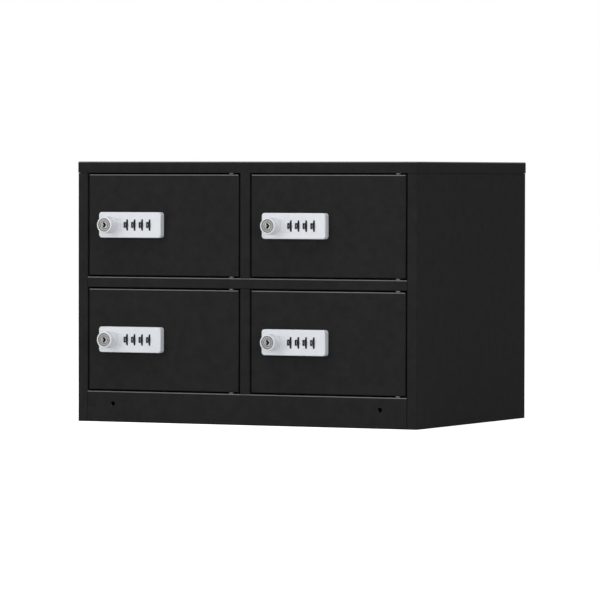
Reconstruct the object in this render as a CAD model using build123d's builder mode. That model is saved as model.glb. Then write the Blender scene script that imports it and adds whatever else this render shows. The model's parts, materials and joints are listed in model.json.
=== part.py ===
from build123d import *
import os

# A valuables locker of folded steel sheet: four flush doors in two rows of two, each turning on two
# pivot pins at its right edge and held by a lock with four dials and a round knob at its left.
# Millimetres. X to the right, Y from the front to the back, Z up. The origin is the middle of the
# footprint, on the floor.

# Cabinet
width = 450.0
depth = 320.0
height = 313.0
sheet = 1.0
bend_radius = 1.5

# Front frame, as seen from the front
stile_width = 13.5
centre_width = 13.0
cap_skirt = 13.5
rail_height = 12.5
plinth_height = 37.0
door_gap = 2.0

# Sheet behind the front frame
stile_step = 0.5
stile_lip = 8.0
rail_step = 2.0
rear_flange = 15.0
floor_flange = 18.0
cap_overhang = 0.5
cap_tongue = 13.0
seam = 0.3
slip = 0.2

# Plinth holes for bolting the front to a support
plinth_hole = 5.4
plinth_hole_inset = 48.0
plinth_hole_height = 22.2

# Doors and the tabs that stop them
door_room = 2.0
door_lip = 10.0
stop_width = 40.0
stop_drop = 7.0
stop_inset = 12.0
end_clearance = 0.3

# Hinge pins
pin_diameter = 4.0
pin_collar = 7.0
pin_tail = 1.0
pin_reach = 3.5
pin_from_edge = 11.0
pin_from_front = 5.0
running_clearance = 0.08

# Lock housing and back case
lock_end = 14.7
lock_height = 30.6
lock_proud = 9.0
lock_wall = 1.5
lock_corner = 3.5
lock_edge = 0.8
lock_from_door_edge = 18.0
cutout_margin = 4.0
wheel_room = 1.45
case_room = 4.05
boss_diameter = 6.0
boss_from_knob = 13.0
boss_from_end = 4.4

# Dials and their axle
dial_count = 4
dial_pitch = 10.1
first_dial = 38.5
wheel_diameter = 19.7
wheel_proud = 2.25
wheel_width = 1.7
wheel_notch = 0.9
slot_width = 2.1
window_width = 4.0
window_height = 7.1
drum_recess = 1.0
drum_width = 3.6
drum_step = 0.4
digit_count = 10
hub_diameter = 8.0
hub_length = 4.1
axle_diameter = 4.0
axle_wall = 1.6
axle_wall_clearance = 1.3
axle_wall_reach = 2.0

# Knob, cylinder core and key plug
knob_diameter = 20.0
knob_proud = 24.0
knob_rim = 0.9
knob_from_end = 15.0
barrel_diameter = 15.5
barrel_reach = 10.0
shaft_diameter = 10.0
shaft_square = 7.0
stud_diameter = 6.0
stud_tip = 0.8
core_face = 16.0
core_face_thickness = 1.6
core_diameter = 13.4
core_length = 13.0
core_recess = 0.5
plug_diameter = 10.8
plug_length = 12.0
keyway_half_height = 3.0
keyway_half_width = 1.2
keyway_slot = 2.0
keyway_depth = 9.0

# Cam, its nut and the lock screws
cam_thickness = 2.0
cam_width = 12.0
cam_hub = 15.0
cam_catch = 7.0
cam_clearance = 2.0
cam_corner = 2.0
nut_across_flats = 10.0
nut_thickness = 3.0
screw_diameter = 3.0
screw_head = 6.0
screw_head_thickness = 1.7
screw_bite = 3.0

# The lock's places, measured from its left end and from the front of the door
dial_xs = [first_dial + number * dial_pitch for number in range(dial_count)]
lock_length = dial_xs[-1] + lock_end
dial_axis = wheel_diameter / 2 - wheel_proud - lock_proud
drum_diameter = 2 * (dial_axis + lock_proud - drum_recess)
cutout_height = wheel_diameter + 2 * wheel_room
case_back = dial_axis + wheel_diameter / 2 + case_room + lock_wall
door_depth = case_back + door_room
stile_return = door_depth - stile_step
rail_return = door_depth + rail_step
drum_start = wheel_width / 2 + drum_step + drum_width
hub_end = wheel_width / 2 + hub_length
axle_start = dial_xs[0] - drum_start - end_clearance - axle_wall
axle_end = dial_xs[-1] + hub_end + end_clearance + axle_wall
boss_xs = [knob_from_end + boss_from_knob, lock_length - boss_from_end]
cam_front = stile_return + cam_clearance
cam_back = cam_front + cam_thickness
cam_length = lock_from_door_edge + knob_from_end + door_gap + cam_catch
core_front = -knob_proud + core_recess

# The cabinet's places
front = -depth / 2
column_width = (width - 2 * stile_width - centre_width) / 2
row_height = (height - cap_skirt - plinth_height - rail_height) / 2
door_width = column_width - 2 * door_gap
door_height = row_height - 2 * door_gap
side_face = width / 2 - cap_overhang
rear_face = depth / 2 - cap_overhang
opening_edge = width / 2 - stile_width
shelf_top = plinth_height + row_height + rail_height
shelf_lintel = shelf_top - rail_height
lintel = height - cap_skirt
ceiling = height - sheet - slip
inner_side = side_face - sheet - slip
inner_rear = rear_face - 2 * sheet - slip
channel_back = stile_return + slip
return_back = rail_return + slip

column_lefts = {"left": -opening_edge + door_gap, "right": centre_width / 2 + door_gap}
row_bottoms = {"lower": plinth_height + door_gap, "upper": shelf_top + door_gap}
pivot_xs = [left + door_width - pin_from_edge for left in column_lefts.values()]
pivot_y = front + pin_from_front


def upright(behind, x=0.0, z=0.0):
    """Plane parallel to the front, so far behind it: its x points right, its y up, its normal forward."""
    return Plane(origin=(x, front + behind, z), x_dir=(1, 0, 0), z_dir=(0, -1, 0))


def across(x, behind, z):
    """Plane square to the cabinet's width: its x points to the back, its y up, its normal right."""
    return Plane(origin=(x, front + behind, z), x_dir=(0, 1, 0), z_dir=(1, 0, 0))


def folded(*points):
    """Section of folded sheet, one sheet thick to the left of the line, with its bends rounded."""
    with BuildSketch() as section:
        with BuildLine():
            FilletPolyline(*points, radius=bend_radius)
            offset(amount=sheet, side=Side.LEFT)
        make_face()
    return section.sketch


def write(piece, name):
    """Names a finished piece and writes it."""
    piece.part.label = name
    export_step(piece.part, f"parts/{name}.step")


def write_pair(first, second, name):
    """Writes two separate solids that touch, such as a plate and its nut, as one named node."""
    pair = Compound([first.part.solid(), second.part.solid()])
    pair.label = name
    export_step(pair, f"parts/{name}.step")


def pin_holes(radius):
    """Outline of one pin hole in each column."""
    with BuildSketch() as holes:
        for x in pivot_xs:
            with Locations((x, pivot_y)):
                Circle(radius)
    return holes.sketch


def stop_tabs():
    """Outline of the tabs that hang from a rail's return and stop the doors below it."""
    with BuildSketch() as tabs:
        for left in column_lefts.values():
            with Locations((left + stop_inset, front + door_depth + end_clearance)):
                Rectangle(stop_width, sheet, align=(Align.MIN, Align.MIN))
    return tabs.sketch


def front_corners(behind):
    """Outline of both front corners, beyond the stiles' inner edges and so far behind the front."""
    with BuildSketch() as corners:
        for side, align_x in ((1, Align.MIN), (-1, Align.MAX)):
            with Locations((side * (opening_edge - slip), front)):
                Rectangle(stile_width, behind, align=(align_x, Align.MIN))
    return corners.sketch


os.makedirs("parts", exist_ok=True)

# Top cap: a shallow lid over the whole cabinet, its front skirt returned to close the stiles' tops and
# carry the upper pivots
with BuildPart() as top_cap:
    with BuildSketch(Plane.XY.offset(lintel)):
        Rectangle(width, depth)
    extrude(amount=cap_skirt)
    fillet(top_cap.edges().filter_by(Axis.Z), radius=bend_radius)
    fillet(top_cap.faces().sort_by(Axis.Z)[-1].edges(), radius=bend_radius)
    with BuildSketch(Plane.XY.offset(lintel)):
        Rectangle(width - 2 * sheet, depth - 2 * sheet)
    extrude(amount=cap_skirt - sheet, mode=Mode.SUBTRACT)
    with BuildSketch(Plane.XY.offset(lintel)):
        with Locations((0, front + sheet)):
            Rectangle(2 * (inner_side - sheet), rail_return - sheet, align=(Align.CENTER, Align.MIN))
    extrude(amount=sheet)
    with BuildSketch(Plane.XY.offset(lintel - stop_drop)):
        add(stop_tabs())
    extrude(amount=stop_drop)
    with BuildSketch(Plane.XY.offset(lintel)):
        add(pin_holes(pin_diameter / 2))
    extrude(amount=sheet, mode=Mode.SUBTRACT)
write(top_cap, "top_cap")

# Side panels: wall, rear flange and front stile folded from one sheet, with a tongue up into the cap
panel_section = folded(
    (-side_face + rear_flange, rear_face),
    (-side_face, rear_face),
    (-side_face, front),
    (-opening_edge, front),
    (-opening_edge, front + stile_return),
    (-opening_edge - stile_lip, front + stile_return),
)
for side in ("left", "right"):
    with BuildPart() as side_panel:
        with BuildSketch():
            add(panel_section)
        extrude(amount=lintel - seam)
        with BuildSketch(Plane.XY.offset(lintel - seam - sheet)):
            with Locations((-side_face + sheet, 0)):
                Rectangle(sheet, depth - 4 * bend_radius, align=(Align.MIN, Align.CENTER))
        extrude(amount=cap_tongue)
        if side == "right":
            mirror(about=Plane.YZ, mode=Mode.REPLACE)
    write(side_panel, f"{side}_side_panel")

# Back panel: flat sheet against the inside of the rear flanges, from the floor flange to the cap
with BuildPart() as back_panel:
    with BuildSketch(upright(rear_face - sheet - front, 0, sheet)):
        Rectangle(2 * (side_face - bend_radius), ceiling - sheet, align=(Align.CENTER, Align.MIN))
    extrude(amount=sheet)
write(back_panel, "back_panel")

# Shelf: its front edge is the middle rail, folded down and back to carry the lower doors' top pivots
shelf_section = folded(
    (inner_rear, shelf_lintel),
    (inner_rear, shelf_top),
    (front, shelf_top),
    (front, shelf_lintel),
    (front + rail_return, shelf_lintel),
)
with BuildPart() as shelf:
    with BuildSketch(Plane.YZ.offset(-inner_side)):
        add(shelf_section)
    extrude(amount=2 * inner_side)
    with BuildSketch(Plane.XY.offset(shelf_lintel)):
        add(front_corners(channel_back))
    extrude(amount=rail_height, mode=Mode.SUBTRACT)
    with BuildSketch(Plane.XY.offset(shelf_lintel)):
        add(front_corners(return_back))
    extrude(amount=rail_height - sheet, mode=Mode.SUBTRACT)
    with BuildSketch(Plane.XY.offset(shelf_lintel)):
        for x in (-inner_side + sheet / 2, inner_side - sheet / 2):
            with Locations((x, inner_rear)):
                Rectangle(sheet, inner_rear - front - return_back, align=(Align.CENTER, Align.MAX))
    extrude(amount=rail_height - sheet)
    with BuildSketch(Plane.XY.offset(shelf_lintel - stop_drop)):
        add(stop_tabs())
    extrude(amount=stop_drop)
    with BuildSketch(Plane.XY.offset(shelf_lintel)):
        add(pin_holes(pin_diameter / 2))
    extrude(amount=rail_height, mode=Mode.SUBTRACT)
write(shelf, "shelf")

# Floor panel: an upturned tray, its front wall the plinth, with a flange all round to stand on
floor_section = folded(
    (inner_rear - floor_flange, 0),
    (inner_rear, 0),
    (inner_rear, plinth_height),
    (front, plinth_height),
    (front, 0),
    (front + floor_flange, 0),
)
with BuildPart() as floor_panel:
    with BuildSketch(Plane.YZ.offset(-inner_side)):
        add(floor_section)
    extrude(amount=2 * inner_side)
    with BuildSketch():
        for side in (1, -1):
            with Locations((side * inner_side, front + sheet)):
                align_x = Align.MAX if side > 0 else Align.MIN
                Rectangle(floor_flange, inner_rear - front - 2 * sheet, align=(align_x, Align.MIN))
    extrude(amount=sheet)
    with BuildSketch():
        for x in (-inner_side + sheet / 2, inner_side - sheet / 2):
            with Locations((x, inner_rear - bend_radius)):
                Rectangle(sheet, inner_rear - front - channel_back - bend_radius, align=(Align.CENTER, Align.MAX))
    extrude(amount=plinth_height)
    with BuildSketch():
        add(front_corners(channel_back))
    extrude(amount=plinth_height, mode=Mode.SUBTRACT)
    with BuildSketch(upright(0, 0, plinth_hole_height)):
        with Locations((plinth_hole_inset - width / 2, 0), (width / 2 - plinth_hole_inset, 0)):
            Circle(plinth_hole / 2)
    extrude(amount=-sheet, mode=Mode.SUBTRACT)
    with BuildSketch(Plane.XY.offset(plinth_height - sheet)):
        add(pin_holes(pin_diameter / 2))
    extrude(amount=sheet, mode=Mode.SUBTRACT)
write(floor_panel, "floor_panel")

# Centre partitions: one in each row, a wall whose front edge is folded into the centre stile, with a
# lip that the right-hand doors' cams catch behind
partition_section = folded(
    (-centre_width / 2, inner_rear - sheet - slip),
    (-centre_width / 2, front),
    (centre_width / 2, front),
    (centre_width / 2, front + stile_return),
    (centre_width / 2 - stile_lip, front + stile_return),
)
partition_rows = (
    (plinth_height, shelf_lintel, shelf_top - sheet - slip),
    (shelf_top, lintel, ceiling),
)
with BuildPart() as centre_partitions:
    for base, rail_under, wall_top in partition_rows:
        with BuildSketch(Plane.XY.offset(base)):
            add(partition_section)
        extrude(amount=wall_top - base)
        with BuildSketch(Plane.XY.offset(rail_under)):
            with Locations((0, front)):
                Rectangle(centre_width, return_back, align=(Align.CENTER, Align.MIN))
        extrude(amount=wall_top - rail_under, mode=Mode.SUBTRACT)
write(centre_partitions, "centre_partitions")

# Hinge pins: one above and one below each door, riveted in the rail, with a collar in the door gap
with BuildPart() as hinge_pins:
    for x in pivot_xs:
        for bottom in row_bottoms.values():
            for rail, towards_door in ((bottom - door_gap, 1), (bottom + door_height + door_gap, -1)):
                seat = Plane(origin=(x, pivot_y, rail), x_dir=(1, 0, 0), z_dir=(0, 0, towards_door))
                with BuildSketch(seat.offset(-sheet - pin_tail)):
                    Circle(pin_diameter / 2)
                extrude(amount=2 * sheet + pin_tail + door_gap + pin_reach)
                with BuildSketch(seat):
                    Circle(pin_collar / 2)
                extrude(amount=door_gap - end_clearance)
write(hinge_pins, "hinge_pins")


def make_door(left, bottom):
    """A folded pan with a lip round its back, cut out for the lock and drilled for the pins."""
    middle_x = left + door_width / 2
    middle_z = bottom + door_height / 2
    with BuildPart() as door:
        with BuildSketch(upright(0, middle_x, middle_z)):
            Rectangle(door_width, door_height)
        extrude(amount=-door_depth)
        fillet(door.edges().group_by(Axis.Y)[0], radius=bend_radius)
        with BuildSketch(upright(sheet, middle_x, middle_z)):
            Rectangle(door_width - 2 * sheet, door_height - 2 * sheet)
        extrude(amount=2 * sheet - door_depth, mode=Mode.SUBTRACT)
        with BuildSketch(upright(door_depth, middle_x, middle_z)):
            Rectangle(door_width - 2 * door_lip, door_height - 2 * door_lip)
        extrude(amount=sheet, mode=Mode.SUBTRACT)
        with BuildSketch(upright(0, left + lock_from_door_edge, middle_z)):
            with Locations((lock_length / 2, 0)):
                RectangleRounded(lock_length - 2 * cutout_margin, cutout_height, bend_radius)
            for x in boss_xs:
                with Locations((x, 0)):
                    Circle(screw_diameter / 2 + slip)
        extrude(amount=-sheet, mode=Mode.SUBTRACT)
        with BuildSketch(Plane.XY.offset(bottom)):
            with Locations((left + door_width - pin_from_edge, pivot_y)):
                Circle(pin_diameter / 2 + running_clearance)
        extrude(amount=door_height, mode=Mode.SUBTRACT)
    return door


def make_housing(x, z):
    """The pale front shell of the lock, with its dial windows, axle walls and screw bosses."""
    with BuildPart() as housing:
        with BuildSketch(upright(0, x, z)):
            with Locations((lock_length / 2, 0)):
                RectangleRounded(lock_length, lock_height, lock_corner)
        extrude(amount=lock_proud)
        chamfer(housing.edges().group_by(Axis.Y)[0], length=lock_edge)
        with BuildSketch(upright(0, x, z)):
            with Locations((lock_length / 2, 0)):
                Rectangle(lock_length - 2 * lock_wall, lock_height - 2 * lock_wall)
        extrude(amount=lock_proud - lock_wall, mode=Mode.SUBTRACT)
        with BuildSketch(upright(axle_wall_reach, x, z)):
            for wall_x in (axle_start, axle_end - axle_wall):
                with Locations((wall_x, 0)):
                    wall_height = cutout_height - 2 * axle_wall_clearance
                    Rectangle(axle_wall, wall_height, align=(Align.MIN, Align.CENTER))
        extrude(amount=lock_proud - lock_wall + axle_wall_reach)
        with BuildSketch(upright(0, x, z)):
            for boss_x in boss_xs:
                with Locations((boss_x, 0)):
                    Circle(boss_diameter / 2)
        extrude(amount=lock_proud - lock_wall)
        with BuildSketch(upright(0, x, z)):
            for boss_x in boss_xs:
                with Locations((boss_x, 0)):
                    Circle(screw_diameter / 2)
        extrude(amount=screw_bite + end_clearance, mode=Mode.SUBTRACT)
        with BuildSketch(upright(-lock_proud, x, z)):
            with Locations((knob_from_end, 0)):
                Circle(barrel_diameter / 2 + running_clearance)
            for dial_x in dial_xs:
                with Locations((dial_x - slot_width / 2, 0)):
                    Rectangle(window_width, window_height, align=(Align.MAX, Align.CENTER))
        extrude(amount=-lock_wall, mode=Mode.SUBTRACT)
        for dial_x in dial_xs:
            with BuildSketch(across(x + dial_x - slot_width / 2, dial_axis, z)):
                Circle(wheel_diameter / 2 + end_clearance)
            extrude(amount=slot_width, mode=Mode.SUBTRACT)
        with BuildSketch(across(x + axle_start, dial_axis, z)):
            Circle(axle_diameter / 2)
        extrude(amount=axle_end - axle_start, mode=Mode.SUBTRACT)
    return housing


def make_back_case(x, z):
    """The shell behind the door that closes the lock and clamps the sheet against the housing."""
    with BuildPart() as case:
        with BuildSketch(upright(case_back, x, z)):
            with Locations((lock_length / 2, 0)):
                RectangleRounded(lock_length, lock_height, lock_corner)
        extrude(amount=case_back - sheet)
        with BuildSketch(upright(sheet, x, z)):
            with Locations((lock_length / 2, 0)):
                Rectangle(lock_length - 2 * lock_wall, lock_height - 2 * lock_wall)
        extrude(amount=lock_wall + sheet - case_back, mode=Mode.SUBTRACT)
        with BuildSketch(upright(case_back, x, z)):
            with Locations((knob_from_end, 0)):
                Circle(shaft_diameter / 2 + running_clearance)
            for boss_x in boss_xs:
                with Locations((boss_x, 0)):
                    Circle(screw_diameter / 2)
        extrude(amount=lock_wall, mode=Mode.SUBTRACT)
    return case


def make_axle(x, z):
    """The plain rod that the dials turn on, held in the housing's two axle walls."""
    with BuildPart() as axle:
        with BuildSketch(across(x + axle_start, dial_axis, z)):
            Circle(axle_diameter / 2)
        extrude(amount=axle_end - axle_start)
    return axle


def make_screws(x, z):
    """The two screws that draw the back case and the housing together through the door."""
    with BuildPart() as screws:
        for boss_x in boss_xs:
            with BuildSketch(upright(case_back, x + boss_x, z)):
                Circle(screw_diameter / 2)
            extrude(amount=case_back + screw_bite)
            with BuildSketch(upright(case_back + screw_head_thickness, x + boss_x, z)):
                Circle(screw_head / 2)
            extrude(amount=screw_head_thickness)
    return screws


def wheel_rim():
    """Corners of the thumb wheel: for each digit two on the rim, a quarter step each way, then a notch."""
    step = 360 / digit_count
    corners = []
    for digit in range(digit_count):
        middle = Vector(wheel_diameter / 2, 0).rotate(Axis.Z, digit * step)
        notch = Vector(wheel_diameter / 2 - wheel_notch, 0).rotate(Axis.Z, (digit + 0.5) * step)
        corners += [middle.rotate(Axis.Z, -step / 4), middle.rotate(Axis.Z, step / 4), notch]
    return corners


def make_dial(x, z):
    """One number drum with its notched thumb wheel and its hub, bored for the axle."""
    with BuildPart() as dial:
        with BuildSketch(across(x - wheel_width / 2, dial_axis, z)):
            with BuildLine():
                Polyline(*wheel_rim(), close=True)
            make_face()
        extrude(amount=wheel_width)
        with BuildSketch(across(x - drum_start, dial_axis, z)):
            RegularPolygon(drum_diameter / 2, digit_count, rotation=180 / digit_count)
        extrude(amount=drum_width)
        with BuildSketch(across(x - drum_start, dial_axis, z)):
            RegularPolygon(hub_diameter / 2, digit_count, rotation=180 / digit_count)
        extrude(amount=drum_start + hub_end)
        with BuildSketch(across(x - drum_start, dial_axis, z)):
            Circle(axle_diameter / 2 + running_clearance)
        extrude(amount=drum_start + hub_end, mode=Mode.SUBTRACT)
    return dial


def make_knob(x, z):
    """The round knob, its barrel through the lock and the square shaft end that carries the cam."""
    with BuildPart() as knob:
        with BuildSketch(upright(-lock_proud - end_clearance, x, z)):
            Circle(knob_diameter / 2)
        extrude(amount=knob_proud - lock_proud - end_clearance)
        chamfer(knob.edges().group_by(Axis.Y)[0], length=knob_rim)
        with BuildSketch(upright(barrel_reach, x, z)):
            Circle(barrel_diameter / 2)
        extrude(amount=barrel_reach + lock_proud + end_clearance)
        with BuildSketch(upright(cam_front, x, z)):
            Circle(shaft_diameter / 2)
        extrude(amount=cam_front - barrel_reach)
        with BuildSketch(upright(cam_back, x, z)):
            Rectangle(shaft_square, shaft_square)
        extrude(amount=cam_thickness)
        with BuildSketch(upright(cam_back + nut_thickness + stud_tip, x, z)):
            Circle(stud_diameter / 2)
        extrude(amount=nut_thickness + stud_tip)
        with BuildSketch(upright(-knob_proud, x, z)):
            Circle(core_face / 2)
        extrude(amount=-core_recess - core_face_thickness, mode=Mode.SUBTRACT)
        with BuildSketch(upright(-knob_proud, x, z)):
            Circle(core_diameter / 2)
        extrude(amount=-core_recess - core_length - end_clearance, mode=Mode.SUBTRACT)
    return knob


def make_core(x, z):
    """The bright cylinder core pressed into the knob, flanged over its front."""
    with BuildPart() as core:
        with BuildSketch(upright(core_front + core_face_thickness, x, z)):
            Circle(core_face / 2)
        extrude(amount=core_face_thickness)
        with BuildSketch(upright(core_front + core_length, x, z)):
            Circle(core_diameter / 2)
        extrude(amount=core_length)
        with BuildSketch(upright(core_front, x, z)):
            Circle(plug_diameter / 2 + running_clearance)
        extrude(amount=-core_length, mode=Mode.SUBTRACT)
    return core


def make_plug(x, z):
    """The key plug, with its bent keyway."""
    with BuildPart() as plug:
        with BuildSketch(upright(core_front, x, z)):
            Circle(plug_diameter / 2)
        extrude(amount=-plug_length)
        with BuildSketch(upright(core_front, x, z)):
            with BuildLine():
                Polyline(
                    (-keyway_half_width, keyway_half_height),
                    (keyway_half_width, 0),
                    (-keyway_half_width, -keyway_half_height),
                )
            trace(line_width=keyway_slot)
        extrude(amount=-keyway_depth, mode=Mode.SUBTRACT)
    return plug


def make_cam(x, z):
    """The flat cam on the shaft's square, hanging straight down while the door is free to open."""
    with BuildPart() as cam:
        with BuildSketch(upright(cam_front, x, z)):
            Rectangle(cam_width, cam_length, align=(Align.CENTER, Align.MAX))
            fillet(vertices().group_by(Axis.Y)[0], radius=cam_corner)
            Circle(cam_hub / 2)
            Rectangle(shaft_square, shaft_square, mode=Mode.SUBTRACT)
        extrude(amount=-cam_thickness)
    return cam


def make_nut(x, z):
    """The hexagon nut that holds the cam on the stud."""
    with BuildPart() as nut:
        with BuildSketch(upright(cam_back, x, z)):
            RegularPolygon(nut_across_flats / 2, 6, major_radius=False)
            Circle(stud_diameter / 2, mode=Mode.SUBTRACT)
        extrude(amount=-nut_thickness)
    return nut


# The four doors with their locks
for row, bottom in row_bottoms.items():
    for column, left in column_lefts.items():
        place = f"{row}_{column}"
        lock_x = left + lock_from_door_edge
        lock_z = bottom + door_height / 2
        knob_x = lock_x + knob_from_end
        write(make_door(left, bottom), f"door_{place}")
        write(make_housing(lock_x, lock_z), f"lock_housing_{place}")
        write(make_back_case(lock_x, lock_z), f"lock_back_case_{place}")
        write(make_axle(lock_x, lock_z), f"dial_axle_{place}")
        write(make_screws(lock_x, lock_z), f"lock_screws_{place}")
        write(make_knob(knob_x, lock_z), f"knob_{place}")
        write(make_core(knob_x, lock_z), f"cylinder_core_{place}")
        write(make_plug(knob_x, lock_z), f"key_plug_{place}")
        write_pair(make_cam(knob_x, lock_z), make_nut(knob_x, lock_z), f"cam_{place}")
        for number, dial_x in enumerate(dial_xs, 1):
            write(make_dial(lock_x + dial_x, lock_z), f"dial_{place}_{number}")
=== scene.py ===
import json
import math

import bmesh
import bpy
import numpy as np
from mathutils import Matrix, Vector

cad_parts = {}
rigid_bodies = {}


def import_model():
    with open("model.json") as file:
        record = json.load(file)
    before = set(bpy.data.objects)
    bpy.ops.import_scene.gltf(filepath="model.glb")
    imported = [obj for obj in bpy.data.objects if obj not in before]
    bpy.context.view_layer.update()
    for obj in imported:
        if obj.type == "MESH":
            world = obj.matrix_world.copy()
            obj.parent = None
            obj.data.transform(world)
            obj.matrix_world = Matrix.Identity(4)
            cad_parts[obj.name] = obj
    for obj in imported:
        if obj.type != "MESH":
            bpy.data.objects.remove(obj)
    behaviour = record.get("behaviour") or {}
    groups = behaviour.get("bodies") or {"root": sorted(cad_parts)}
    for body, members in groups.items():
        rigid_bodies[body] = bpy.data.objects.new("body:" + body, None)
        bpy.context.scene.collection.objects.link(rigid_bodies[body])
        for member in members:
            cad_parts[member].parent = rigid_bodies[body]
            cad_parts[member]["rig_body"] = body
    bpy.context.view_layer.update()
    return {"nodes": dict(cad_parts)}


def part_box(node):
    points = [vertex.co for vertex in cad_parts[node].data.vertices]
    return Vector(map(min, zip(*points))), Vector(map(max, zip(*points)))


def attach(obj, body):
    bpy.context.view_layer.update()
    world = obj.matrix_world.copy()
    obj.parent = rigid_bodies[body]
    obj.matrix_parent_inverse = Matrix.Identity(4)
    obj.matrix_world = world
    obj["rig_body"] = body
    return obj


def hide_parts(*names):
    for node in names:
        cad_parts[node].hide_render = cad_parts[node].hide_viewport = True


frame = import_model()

nodes = frame["nodes"]

# The camera stands level with the cabinet's top edge, well back and round to the right, behind a
# long lens. Its place and turn come from a perspective fit of the cabinet's corners.
camera_yaw = math.radians(25.8815)
camera_pitch = math.radians(1.475)
camera_roll = math.radians(0.095)
camera_place = Vector((2.5806, -5.3287, 0.2977))
focal_pixels = 4872.72
frame_pixels = 600
sensor_width = 36.0
far_clip = 50.0

up = Vector((0, 0, 1))
level_forward = Vector((-math.sin(camera_yaw), math.cos(camera_yaw), 0))
level_right = Vector((math.cos(camera_yaw), math.sin(camera_yaw), 0))
forward = level_forward * math.cos(camera_pitch) - up * math.sin(camera_pitch)
upward = up * math.cos(camera_pitch) + level_forward * math.sin(camera_pitch)
right = level_right * math.cos(camera_roll) + upward * math.sin(camera_roll)
upward = upward * math.cos(camera_roll) - level_right * math.sin(camera_roll)
camera = bpy.data.objects.new("camera", bpy.data.cameras.new("camera"))
camera.data.sensor_width = sensor_width
camera.data.lens = focal_pixels / frame_pixels * sensor_width
camera.data.clip_end = far_clip
axes = Matrix((right, upward, -forward)).transposed().to_4x4()
camera.matrix_world = Matrix.Translation(camera_place) @ axes
bpy.context.scene.collection.objects.link(camera)
bpy.context.scene.camera = camera
bpy.context.scene.view_settings.view_transform = "Standard"

# The studio: white behind everything, an even soft light from all round, and three soft boxes: one
# overhead, one in front and to the left for the doors, and a weaker one in front and to the right.
room_light = 0.30
box_aim = (0, 0, 0.15)
above_aim = (0, 0, 0.2)

world = bpy.data.worlds.new("studio")
world.use_nodes = True
bpy.context.scene.world = world


def add_node(tree, kind, **values):
    """Adds a shader node. A value named like an input sets that input, any other its property."""
    node = tree.nodes.new(kind)
    for name, value in values.items():
        title = name.replace("_", " ").title()
        if title in node.inputs:
            node.inputs[title].default_value = value
        else:
            setattr(node, name, value)
    return node


def join(tree, source, output, target, entry):
    """Joins one node's named or numbered output to another node's named or numbered input."""
    tree.links.new(source.outputs[output], target.inputs[entry])


def background_rays(tree):
    """A node that is one for a ray that shows the background, directly or in gloss or glass."""
    path = add_node(tree, "ShaderNodeLightPath")
    gloss = add_node(tree, "ShaderNodeMath", operation="MAXIMUM")
    both = add_node(tree, "ShaderNodeMath", operation="MAXIMUM")
    join(tree, path, "Is Glossy Ray", gloss, 0)
    join(tree, path, "Is Transmission Ray", gloss, 1)
    join(tree, path, "Is Camera Ray", both, 0)
    join(tree, gloss, 0, both, 1)
    return both


tree = world.node_tree
tree.nodes.clear()
soft = add_node(tree, "ShaderNodeBackground", color=(1, 1, 1, 1), strength=room_light)
white = add_node(tree, "ShaderNodeBackground", color=(1, 1, 1, 1), strength=1.0)
seen = add_node(tree, "ShaderNodeMixShader")
out = add_node(tree, "ShaderNodeOutputWorld")
join(tree, background_rays(tree), 0, seen, 0)
join(tree, soft, 0, seen, 1)
join(tree, white, 0, seen, 2)
join(tree, seen, 0, out, 0)


def add_light(name, place, aim, size, power):
    """A soft box at a place, turned towards a point: its width and height, and power in watts."""
    lamp = bpy.data.lights.new(name, "AREA")
    lamp.shape = "RECTANGLE"
    lamp.size, lamp.size_y = size
    lamp.energy = power
    box = bpy.data.objects.new(name, lamp)
    box.location = place
    box.rotation_euler = (Vector(aim) - Vector(place)).to_track_quat("-Z", "Y").to_euler()
    bpy.context.scene.collection.objects.link(box)


add_light("soft_box_above", (0.1, -0.9, 2.5), above_aim, (2.4, 1.2), 26)
add_light("soft_box_front", (-2.2, -3.4, 1.3), box_aim, (2.0, 2.0), 38)
add_light("soft_box_right", (2.9, -2.7, 1.0), box_aim, (1.6, 1.6), 30)

# The floor: a wide white sheet of paper, which keeps a faint shadow. It is lit up for the camera
# all round the cabinet but not under it, where it shows through the holes and the doorways.
floor_half = 12.0
floor_glow = 0.74
paper_colour = (0.9, 0.9, 0.9, 1)
footprint = (0.224, 0.159)
footprint_fade = 0.96

floor = bpy.data.objects.new("floor", bpy.data.meshes.new("floor"))
sides = ((-1, -1), (1, -1), (1, 1), (-1, 1))
corners = [(x * floor_half, y * floor_half, 0) for x, y in sides]
floor.data.from_pydata(corners, [], [(0, 1, 2, 3)])
bpy.context.scene.collection.objects.link(floor)
paper = bpy.data.materials.new("white_paper")
paper.use_nodes = True
tree = paper.node_tree
tree.nodes.clear()
matt = add_node(tree, "ShaderNodeBsdfDiffuse", color=paper_colour)
glow = add_node(tree, "ShaderNodeEmission", color=(1, 1, 1, 1))
level = add_node(tree, "ShaderNodeMath", operation="MULTIPLY")
where = add_node(tree, "ShaderNodeTexCoord")
size = add_node(tree, "ShaderNodeVectorMath", operation="ABSOLUTE")
reach = add_node(tree, "ShaderNodeVectorMath", operation="DIVIDE")
reach.inputs[1].default_value = (footprint[0], footprint[1], 1)
parts = add_node(tree, "ShaderNodeSeparateXYZ")
furthest = add_node(tree, "ShaderNodeMath", operation="MAXIMUM")
outside = add_node(
    tree, "ShaderNodeMapRange", from_min=footprint_fade, from_max=1.0, to_max=floor_glow,
)
both = add_node(tree, "ShaderNodeAddShader")
out = add_node(tree, "ShaderNodeOutputMaterial")
join(tree, where, "Object", size, 0)
join(tree, size, 0, reach, 0)
join(tree, reach, 0, parts, 0)
join(tree, parts, "X", furthest, 0)
join(tree, parts, "Y", furthest, 1)
join(tree, furthest, 0, outside, "Value")
join(tree, outside, 0, level, 1)
join(tree, background_rays(tree), 0, level, 0)
join(tree, level, 0, glow, "Strength")
join(tree, matt, 0, both, 0)
join(tree, glow, 0, both, 1)
join(tree, both, 0, out, 0)
floor.data.materials.append(paper)

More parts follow.
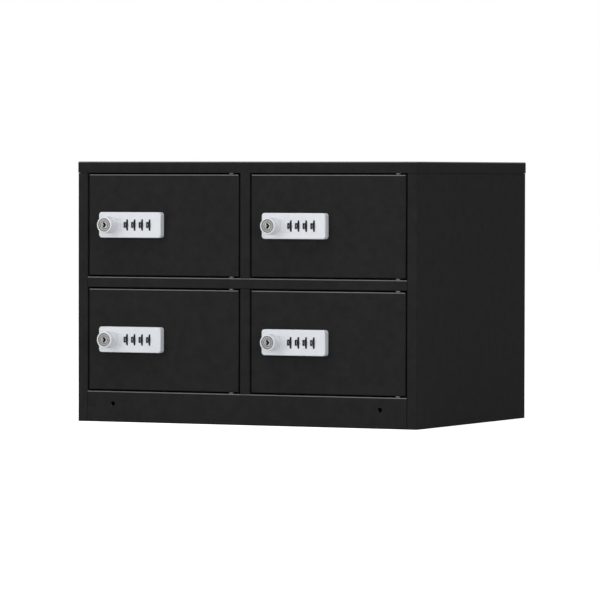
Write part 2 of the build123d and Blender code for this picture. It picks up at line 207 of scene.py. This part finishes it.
# The cabinet's sheets: thin steel, folded and spot-welded, and coated with a satin black powder
# paint that leaves a fine orange-peel grain. The four doors are folded pans with the same coat.
weld_distance = 0.000002
flat_limit = math.radians(0.5)
sharp_limit = math.radians(40)
flat_weight = 100
cloud_low, cloud_high = 0.3, 0.7


def start_group(name, inputs, outputs):
    """An empty node group: its inputs with their usual values, its outputs with their kinds."""
    group = bpy.data.node_groups.new(name, "ShaderNodeTree")
    for title, usual in inputs.items():
        socket = group.interface.new_socket(title, in_out="INPUT", socket_type="NodeSocketFloat")
        socket.default_value = usual
    for title, kind in outputs.items():
        group.interface.new_socket(title, in_out="OUTPUT", socket_type=kind)
    return group, add_node(group, "NodeGroupInput"), add_node(group, "NodeGroupOutput")


# A fine grain over a surface: Cloud drifts slowly from place to place, Roughness follows it between
# its two limits, and Normal is turned by small lumps of the given size and depth.
fine_grain, entry, result = start_group(
    "fine_grain",
    {
        "Grain Size": 800.0, "Grain Depth": 0.0003, "Cloud Size": 20.0,
        "Rough Low": 0.4, "Rough High": 0.5,
    },
    {"Cloud": "NodeSocketFloat", "Roughness": "NodeSocketFloat", "Normal": "NodeSocketVector"},
)
where = add_node(fine_grain, "ShaderNodeTexCoord")
lumps = add_node(fine_grain, "ShaderNodeTexNoise", detail=3.0)
drift = add_node(fine_grain, "ShaderNodeTexNoise", detail=5.0, roughness=0.6)
rough = add_node(fine_grain, "ShaderNodeMapRange", from_min=cloud_low, from_max=cloud_high)
turn = add_node(fine_grain, "ShaderNodeBump", strength=1.0)
join(fine_grain, where, "Object", lumps, "Vector")
join(fine_grain, where, "Object", drift, "Vector")
join(fine_grain, entry, "Grain Size", lumps, "Scale")
join(fine_grain, entry, "Cloud Size", drift, "Scale")
join(fine_grain, entry, "Rough Low", rough, "To Min")
join(fine_grain, entry, "Rough High", rough, "To Max")
join(fine_grain, drift, 0, rough, "Value")
join(fine_grain, lumps, 0, turn, "Height")
join(fine_grain, entry, "Grain Depth", turn, "Distance")
join(fine_grain, drift, 0, result, "Cloud")
join(fine_grain, rough, 0, result, "Roughness")
join(fine_grain, turn, 0, result, "Normal")


def use_group(tree, group, **values):
    """Places a node group in a material with its own values."""
    node = add_node(tree, "ShaderNodeGroup")
    node.node_tree = group
    for name, value in values.items():
        node.inputs[name.replace("_", " ").title()].default_value = value
    return node


def tinted(tree, shader, mask, output, dark, light):
    """Base colour that goes from dark to light as a mask goes from its low to its high value."""
    spread = add_node(tree, "ShaderNodeMapRange", from_min=cloud_low, from_max=cloud_high)
    spread.name = "spread"
    mix = add_node(tree, "ShaderNodeMix", data_type="RGBA")
    mix.inputs[6].default_value = (*dark, 1)
    mix.inputs[7].default_value = (*light, 1)
    join(tree, mask, output, spread, "Value")
    join(tree, spread, 0, mix, 0)
    join(tree, mix, 2, shader, "Base Color")


def grained(name, dark, light, metallic, specular, **grain):
    """A material with the fine grain, whose colour drifts between two tones."""
    made = bpy.data.materials.new(name)
    made.use_nodes = True
    tree = made.node_tree
    shader = tree.nodes["Principled BSDF"]
    shader.inputs["Metallic"].default_value = metallic
    shader.inputs["Specular IOR Level"].default_value = specular
    skin = use_group(tree, fine_grain, **grain)
    skin.name = "skin"
    tinted(tree, shader, skin, "Cloud", dark, light)
    join(tree, skin, "Roughness", shader, "Roughness")
    join(tree, skin, "Normal", shader, "Normal")
    return made


def named(*starts):
    """The frame's pieces whose names start so."""
    return sorted(name for name in nodes if name.startswith(starts))


def carried(piece, replaced):
    """The piece stands for a piece of the frame, which is hidden, and moves with its body."""
    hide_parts(replaced)
    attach(piece, nodes[replaced]["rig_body"])


def shaded(piece, edge=0.0, steps=2):
    """Smooth faces with sharp corners kept. Each sharp edge is rounded to the given width, and the
    large flat faces decide the normals beside them."""
    piece.data.shade_smooth()
    piece.data.set_sharp_from_angle(angle=sharp_limit)
    if edge:
        rounding = piece.modifiers.new("rounding", "BEVEL")
        rounding.width, rounding.segments = edge, steps
        rounding.limit_method, rounding.angle_limit = "ANGLE", sharp_limit
        rounding.use_clamp_overlap = False
    flat = piece.modifiers.new("flat_faces", "WEIGHTED_NORMAL")
    flat.weight = flat_weight
    flat.keep_sharp = True


def refined(name, made, edge=0.0, steps=2):
    """A copy of a piece of the frame with its loose triangles merged, finished as above."""
    shape = bmesh.new()
    shape.from_mesh(nodes[name].data)
    bmesh.ops.remove_doubles(shape, verts=shape.verts, dist=weld_distance)
    bmesh.ops.dissolve_limit(shape, angle_limit=flat_limit, verts=shape.verts, edges=shape.edges)
    bmesh.ops.triangulate(shape, faces=shape.faces)
    mesh = bpy.data.meshes.new(f"{name}_finish")
    shape.to_mesh(mesh)
    shape.free()
    mesh.materials.clear()
    mesh.materials.append(made)
    piece = bpy.data.objects.new(f"{name}_finish", mesh)
    bpy.context.scene.collection.objects.link(piece)
    shaded(piece, edge, steps)
    carried(piece, name)


black_paint = grained(
    "black_powder_coat", (0.0205, 0.0205, 0.0210), (0.0258, 0.0258, 0.0263), 0.0, 0.003,
    grain_size=700.0, grain_depth=0.00012, cloud_size=90.0, rough_low=0.42, rough_high=0.52,
)

# Along the bends that face upwards a painted highlight lightens the coat, in place of the light
# from above that these bends catch. How far a facet faces upwards decides it: upright and level
# sheets keep the plain coat, and what lies between them is painted lighter.
highlight_slopes = (0.15, 0.45, 0.85, 0.97)
bend_highlight_colour = (0.20, 0.20, 0.205, 1)
tree = black_paint.node_tree
shader = tree.nodes["Principled BSDF"]
facing = add_node(tree, "ShaderNodeNewGeometry")
parts = add_node(tree, "ShaderNodeSeparateXYZ")
upward = add_node(tree, "ShaderNodeValToRGB")
for slope, level in zip(highlight_slopes, (0, 1, 1, 0)):
    stop = upward.color_ramp.elements.new(slope)
    stop.color = (level, level, level, 1)
upward.color_ramp.elements.remove(upward.color_ramp.elements[-1])
upward.color_ramp.elements.remove(upward.color_ramp.elements[0])
# Painted highlight: the coat's colour is mixed towards a light grey where a facet faces partly
# upwards.
painted_bend_highlight = add_node(tree, "ShaderNodeMix", data_type="RGBA")
painted_bend_highlight.inputs[7].default_value = bend_highlight_colour
coat = shader.inputs["Base Color"].links[0].from_socket
tree.links.new(coat, painted_bend_highlight.inputs[6])
join(tree, facing, "True Normal", parts, 0)
join(tree, parts, "Z", upward, 0)
join(tree, upward, 0, painted_bend_highlight, 0)
join(tree, painted_bend_highlight, 2, shader, "Base Color")
sheets = named("top_", "left_", "right_", "back_", "shelf", "floor_", "centre_", "door_")
for name in sheets:
    refined(name, black_paint)

# The hinge pins: turned steel, darkened by oil and riveted into the rails. Each has a collar that
# carries the door's weight or keeps it down.
pin_edge = 0.0002

pin_steel = grained(
    "pin_steel", (0.07, 0.07, 0.075), (0.15, 0.15, 0.155), 1.0, 0.5,
    grain_size=260.0, grain_depth=0.00002, cloud_size=320.0, rough_low=0.40, rough_high=0.55,
)
refined("hinge_pins", pin_steel, pin_edge)

# The lock housing: die-cast, with a pale silver lacquer and a well-rounded rim. It is clamped on
# the front of the door by the case behind it, which is moulded in black plastic.
housing_edge = 0.0002
case_edge = 0.00012

silver = grained(
    "silver_lacquer", (0.75, 0.78, 0.82), (0.80, 0.825, 0.86), 0.0, 0.5,
    grain_size=1500.0, grain_depth=0.00003, cloud_size=60.0, rough_low=0.30, rough_high=0.38,
)
case_black = grained(
    "case_black", (0.010, 0.010, 0.011), (0.017, 0.017, 0.018), 0.0, 0.35,
    grain_size=1200.0, grain_depth=0.00005, cloud_size=80.0, rough_low=0.45, rough_high=0.6,
)
for name in named("lock_housing_"):
    refined(name, silver, housing_edge)
for name in named("lock_back_case_"):
    refined(name, case_black, case_edge)

# The steel inside and behind the lock: the rod that the dials turn on, the two screws that draw the
# housing and its case together, and the stamped cam with its nut. All are zinc plated.
steel_edge = 0.0002

zinc = grained(
    "zinc_plate", (0.40, 0.41, 0.43), (0.58, 0.59, 0.61), 1.0, 0.5,
    grain_size=260.0, grain_depth=0.00002, cloud_size=320.0, rough_low=0.28, rough_high=0.42,
)
for name in named("dial_axle_", "lock_screws_", "cam_"):
    refined(name, zinc, steel_edge)

# The dials: moulded in black plastic, each with ten flats, and on every flat a pale printed digit.
# The notched wheel beside the digits is pushed round with a thumb.
digit_count = 10
digit_height = 0.0034
digit_thickness = 0.00008
digit_bold = 0.02
digit_width_share = 0.68
digit_shift = 0.0003
drum_radius = 0.0066
drum_width = 0.0036
dial_edge = 0.00012
curve_steps = 3
same_point = 0.0001

dial_black = grained(
    "dial_plastic", (0.006, 0.009, 0.016), (0.010, 0.014, 0.024), 0.0, 0.10,
    grain_size=900.0, grain_depth=0.00002, cloud_size=150.0, rough_low=0.32, rough_high=0.45,
)
digit_paint = grained(
    "digit_paint", (0.60, 0.63, 0.66), (0.68, 0.71, 0.74), 0.0, 0.3,
    grain_size=1500.0, grain_depth=0.00001, cloud_size=300.0, rough_low=0.5, rough_high=0.6,
)


def digit_outline(number):
    """One digit as a thin closed plate: its centred points (right, up, out) and its faces.

    Each point is its distance from the middle of the outline, times the wanted size over the size
    that the outline came with.
    """
    curve = bpy.data.curves.new(f"digit_{number}", "FONT")
    curve.body = str(number)
    curve.resolution_u = curve_steps
    curve.extrude = 1.0
    curve.offset = digit_bold
    holder = bpy.data.objects.new(f"digit_{number}", curve)
    mesh = bpy.data.meshes.new_from_object(holder)
    shape = bmesh.new()
    shape.from_mesh(mesh)
    bmesh.ops.remove_doubles(shape, verts=shape.verts, dist=same_point)
    bmesh.ops.recalc_face_normals(shape, faces=shape.faces)
    points = np.array([vertex.co for vertex in shape.verts])
    faces = [[vertex.index for vertex in face.verts] for face in shape.faces]
    shape.free()
    bpy.data.objects.remove(holder)
    bpy.data.curves.remove(curve)
    bpy.data.meshes.remove(mesh)
    low, high = points.min(0), points.max(0)
    wanted = np.array((digit_width_share * digit_height, digit_height, digit_thickness))
    return (points - (low + high) / 2) * wanted / (high - low)[[1, 1, 2]], faces


outlines = [digit_outline(number) for number in range(digit_count)]


def add_digits(name):
    """The ten digits of one dial, in one piece. Each outline is laid on its flat of the drum: its
    up and out directions are turned about the axle by as many tenths of a turn as the digit says.
    """
    low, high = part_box(name)
    middle = (np.array(low) + np.array(high)) / 2
    centre = np.array((low[0] + drum_width / 2 + digit_shift, middle[1], middle[2]))
    flat = drum_radius * math.cos(math.pi / digit_count)
    vertices, faces = [], []
    for number, (outline, sides) in enumerate(outlines):
        angle = 2 * math.pi * number / digit_count
        directions = np.array([
            (1, 0, 0),
            (0, math.sin(angle), math.cos(angle)),
            (0, -math.cos(angle), math.sin(angle)),
        ])
        faces += [[corner + len(vertices) for corner in side] for side in sides]
        vertices += ((outline + (0, 0, flat)) @ directions + centre).tolist()
    mesh = bpy.data.meshes.new(f"{name}_digits")
    mesh.from_pydata(vertices, [], faces)
    mesh.materials.append(digit_paint)
    piece = bpy.data.objects.new(f"{name}_digits", mesh)
    bpy.context.scene.collection.objects.link(piece)
    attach(piece, nodes[name]["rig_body"])


for name in named("dial_lower", "dial_upper"):
    refined(name, dial_black, dial_edge)
    add_digits(name)

# The knob: turned and lacquered like the housing, with a well-rounded rim. Its barrel goes through
# the lock to the square that carries the cam, and its face is bored for the cylinder core.
ring_sides = 96
arc_steps = 6
knob_radius = 0.0100
knob_rim = 0.0015
knob_proud = 0.0240
knob_seat = 0.0093
barrel_radius = 0.00775
barrel_reach = 0.0100
shaft_radius = 0.0050
square_half = 0.0035
square_length = 0.0020
stud_radius = 0.0030
stud_length = 0.0038
core_radius = 0.0080
core_recess = 0.0005
core_flange = 0.0016
body_radius = 0.0067
core_length = 0.0130
tiny = 0.0001


def rounded(corners, radii):
    """A polyline with an arc at each corner, tangent to both its sides.

    An arc starts before its corner by the radius times the tangent of half the turn. From there its
    points go forward by the radius times the sine of the angle turned so far, and inwards by the
    radius times one less its cosine.
    """
    corners = np.asarray(corners, float)
    points = [corners[:1]]
    for before, corner, after, radius in zip(corners, corners[1:], corners[2:], radii):
        arrive = (corner - before) / np.linalg.norm(corner - before)
        leave = (after - corner) / np.linalg.norm(after - corner)
        turn = math.acos(np.clip(arrive @ leave, -1, 1))
        inward = leave - arrive * (arrive @ leave)
        inward /= np.linalg.norm(inward)
        angles = np.linspace(0, turn, arc_steps + 1)[:, None]
        start = corner - arrive * radius * math.tan(turn / 2)
        points.append(start + radius * (arrive * np.sin(angles) + inward * (1 - np.cos(angles))))
    points.append(corners[-1:])
    return np.concatenate(points)


def link_mesh(name, vertices, faces, made):
    """A piece made of these points and faces, with its faces turned outwards."""
    mesh = bpy.data.meshes.new(name)
    mesh.from_pydata(vertices, [], faces)
    shape = bmesh.new()
    shape.from_mesh(mesh)
    bmesh.ops.recalc_face_normals(shape, faces=shape.faces)
    shape.to_mesh(mesh)
    shape.free()
    mesh.materials.append(made)
    piece = bpy.data.objects.new(name, mesh)
    bpy.context.scene.collection.objects.link(piece)
    return piece


def turned(name, profile, centre, made, square=(0, 0)):
    """A round piece on an axis along Y: each profile point (radius, y) is carried round the axis.

    A profile that starts on the axis ends there too, and a point closes each end; any other is a
    closed loop. Between the square's two ys, the radius is its half width over the larger of the
    angle's cosine and sine.
    """
    profile = np.asarray(profile, float)
    poles = profile[[0, -1]] if profile[0, 0] == 0 else profile[:0]
    rings = profile[1:-1] if len(poles) else profile
    count, around = len(rings), np.arange(ring_sides)
    angle = around * 2 * math.pi / ring_sides
    radius = np.repeat(rings[:, :1], ring_sides, axis=1)
    inside = (rings[:, 1] > square[0]) & (rings[:, 1] < square[1])
    radius[inside] = square_half / np.maximum(abs(np.cos(angle)), abs(np.sin(angle)))
    depth = np.repeat(rings[:, 1:], ring_sides, axis=1)
    across, upwards = centre[0] + radius * np.cos(angle), centre[1] + radius * np.sin(angle)
    grid = np.stack([across, depth, upwards], axis=-1)
    zeros = np.zeros(len(poles))
    ends = np.stack([zeros + centre[0], poles[:, 1], zeros + centre[1]], axis=-1)
    row, side = np.meshgrid(np.arange(count - min(len(poles), 1)), around, indexing="ij")
    here, there = row * ring_sides, (row + 1) % count * ring_sides
    after = (side + 1) % ring_sides
    quads = np.stack([here + side, here + after, there + after, there + side], axis=-1)
    after, last = (around + 1) % ring_sides, (count - 1) * ring_sides
    first_cap = np.stack([0 * around + count * ring_sides, after, around], axis=-1)
    last_cap = np.stack([0 * around + count * ring_sides + 1, last + around, last + after], axis=-1)
    faces = quads.reshape(-1, 4).tolist()
    if len(poles):
        faces += first_cap.tolist() + last_cap.tolist()
    return link_mesh(name, np.concatenate([grid.reshape(-1, 3), ends]).tolist(), faces, made)


def knob_centre(place):
    """Where a knob's axis crosses the upright plane, and how far forward its face is."""
    low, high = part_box(f"knob_{place}")
    return ((low[0] + high[0]) / 2, (low[2] + high[2]) / 2), low[1]


places = [name.removeprefix("knob_") for name in named("knob_")]
for place in places:
    centre, face = knob_centre(place)
    seat, neck = face + knob_proud - knob_seat, face + knob_proud + barrel_reach
    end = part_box(f"knob_{place}")[1][1]
    square_end = end - stud_length
    square_start = square_end - square_length
    flange_end = face + core_recess + core_flange
    bore_end = face + core_recess + core_length
    corners = [
        (0, bore_end), (body_radius, bore_end), (body_radius, flange_end),
        (core_radius, flange_end), (core_radius, face), (knob_radius, face), (knob_radius, seat),
        (barrel_radius, seat), (barrel_radius, neck), (shaft_radius, neck),
        (shaft_radius, square_start), (square_half, square_start), (square_half, square_end),
        (stud_radius, square_end), (stud_radius, end), (0, end),
    ]
    radii = [
        tiny, tiny, tiny, 4 * tiny, knob_rim, 6 * tiny, 3 * tiny, 5 * tiny, 3 * tiny, 4 * tiny,
        tiny, tiny, tiny, 5 * tiny,
    ]
    square = (square_start, square_end)
    knob = turned(f"knob_{place}_finish", rounded(corners, radii), centre, silver, square)
    shaded(knob)
    carried(knob, f"knob_{place}")

# The cylinder core in the knob's face and the key plug that turns in it: brass, turned with fine
# rings and nickel plated. The core has a groove round its flange, and the plug has a bent keyway.
plug_radius = 0.0054
plug_length = 0.0120
plug_gap = 0.00008
groove_inner = 0.0062
groove_outer = 0.0070
groove_depth = 0.0003
keyway_reach = 0.0030
keyway_bend = 0.0012
keyway_half = 0.0012
keyway_depth = 0.0090
lock_spacing = (0.218, 0.1375)
ring_pitch = 0.00022
ring_depth = 0.000012
shade_band_pitch = 0.0026

# Rings about the nearest knob's axis: X and Z are wrapped to the spacing of the locks, and their
# length is the distance from the axis. Ring and Band rise and fall with it, at a fine and a coarse
# pitch. Ring turns the surface for the fine turning marks. Band is painted shade and reflection:
# dark and light rings of base colour in place of the shade in the gaps and the reflections on the
# face.
knob_rings, entry, result = start_group(
    "knob_rings", {"Ring Pitch": ring_pitch, "Band Pitch": shade_band_pitch},
    {"Ring": "NodeSocketFloat", "Band": "NodeSocketFloat"},
)
centre, face = knob_centre("lower_left")
where = add_node(knob_rings, "ShaderNodeTexCoord")
moved = add_node(knob_rings, "ShaderNodeVectorMath", operation="SUBTRACT")
moved.inputs[1].default_value = (centre[0], 0, centre[1])
wrapped = add_node(knob_rings, "ShaderNodeVectorMath", operation="WRAP")
wrapped.inputs[1].default_value = (lock_spacing[0] / 2, 1, lock_spacing[1] / 2)
wrapped.inputs[2].default_value = (-lock_spacing[0] / 2, -1, -lock_spacing[1] / 2)
level = add_node(knob_rings, "ShaderNodeVectorMath", operation="MULTIPLY")
level.inputs[1].default_value = (1, 0, 1)
distance = add_node(knob_rings, "ShaderNodeVectorMath", operation="LENGTH")
join(knob_rings, where, "Object", moved, 0)
join(knob_rings, moved, 0, wrapped, 0)
join(knob_rings, wrapped, 0, level, 0)
join(knob_rings, level, 0, distance, 0)
for title in ("Ring", "Band"):
    turns = add_node(knob_rings, "ShaderNodeMath", operation="DIVIDE")
    angle = add_node(knob_rings, "ShaderNodeMath", operation="MULTIPLY")
    angle.inputs[1].default_value = 2 * math.pi
    wave = add_node(knob_rings, "ShaderNodeMath", operation="SINE")
    raised = add_node(knob_rings, "ShaderNodeMath", operation="MULTIPLY_ADD")
    raised.inputs[1].default_value = raised.inputs[2].default_value = 0.5
    join(knob_rings, distance, "Value", turns, 0)
    join(knob_rings, entry, f"{title} Pitch", turns, 1)
    join(knob_rings, turns, 0, angle, 0)
    join(knob_rings, angle, 0, wave, 0)
    join(knob_rings, wave, 0, raised, 0)
    join(knob_rings, raised, 0, result, title)

nickel = grained(
    "nickel_plate", (0.13, 0.13, 0.13), (0.29, 0.29, 0.285), 1.0, 0.5,
    grain_size=400.0, grain_depth=0.00001, cloud_size=500.0, rough_low=0.25, rough_high=0.36,
)
tree = nickel.node_tree
rings = use_group(tree, knob_rings)
turning = add_node(tree, "ShaderNodeBump", strength=1.0, distance=ring_depth)
join(tree, rings, "Ring", turning, "Height")
join(tree, tree.nodes["skin"], "Normal", turning, "Normal")
join(tree, turning, 0, tree.nodes["Principled BSDF"], "Normal")
# Painted shade and reflection: Band, in place of the grain's cloud, sets how light the nickel's
# base colour is, in rings about the axis.
join(tree, rings, "Band", tree.nodes["spread"], "Value")

for place in places:
    centre, face = knob_centre(place)
    front = face + core_recess
    bore = plug_radius + plug_gap
    bottom = front + groove_depth
    flange_end = front + core_flange
    end = front + core_length
    corners = [
        (bore, front + plug_length / 2), (bore, front), (groove_inner, front),
        (groove_inner, bottom), (groove_outer, bottom), (groove_outer, front),
        (core_radius, front), (core_radius, flange_end), (body_radius, flange_end),
        (body_radius, end), (bore, end), (bore, front + 2 * plug_length / 3),
    ]
    radii = [2 * tiny, tiny, tiny, tiny, tiny, 5 * tiny, tiny, tiny, 2 * tiny, 2 * tiny]
    core = turned(f"cylinder_core_{place}_finish", rounded(corners, radii), centre, nickel)
    shaded(core)
    carried(core, f"cylinder_core_{place}")

    back = front + plug_length
    corners = [(0, front), (plug_radius, front), (plug_radius, back), (0, back)]
    profile = rounded(corners, (3 * tiny, 3 * tiny))
    plug = turned(f"key_plug_{place}_finish", profile, centre, nickel)
    # The keyway's outline: two arms that meet in a bend. Each arm's sides lie half a keyway to
    # either side of its middle line, along its normal, and meet at the bend in a mitre.
    arm = math.hypot(2 * keyway_bend, keyway_reach)
    mitre = keyway_half * arm / keyway_reach
    slope = np.array((keyway_reach, 2 * keyway_bend)) / arm * keyway_half
    tips = np.array([(-keyway_bend, keyway_reach), (-keyway_bend, -keyway_reach)])
    outline = np.array([
        tips[0] + slope, (keyway_bend + mitre, 0), tips[1] + slope * (1, -1),
        tips[1] - slope * (1, -1), (keyway_bend - mitre, 0), tips[0] - slope,
    ])
    depths = (face, front + keyway_depth)
    rim = [[(centre[0] + x, y, centre[1] + z) for x, z in outline] for y in depths]
    count = len(outline)
    walls = [(i, (i + 1) % count, (i + 1) % count + count, i + count) for i in range(count)]
    ends = [(5, 4, 1, 0), (4, 3, 2, 1), (6, 7, 10, 11), (7, 8, 9, 10)]
    cutter = link_mesh("keyway_cutter", rim[0] + rim[1], walls + ends, nickel)
    cut = plug.modifiers.new("keyway", "BOOLEAN")
    cut.object, cut.operation, cut.solver = cutter, "DIFFERENCE", "EXACT"
    bpy.context.view_layer.update()
    shown = bpy.context.evaluated_depsgraph_get()
    mesh = bpy.data.meshes.new_from_object(plug.evaluated_get(shown))
    plug.modifiers.clear()
    plug.data = mesh
    bpy.data.objects.remove(cutter)
    shaded(plug, tiny)
    carried(plug, f"key_plug_{place}")
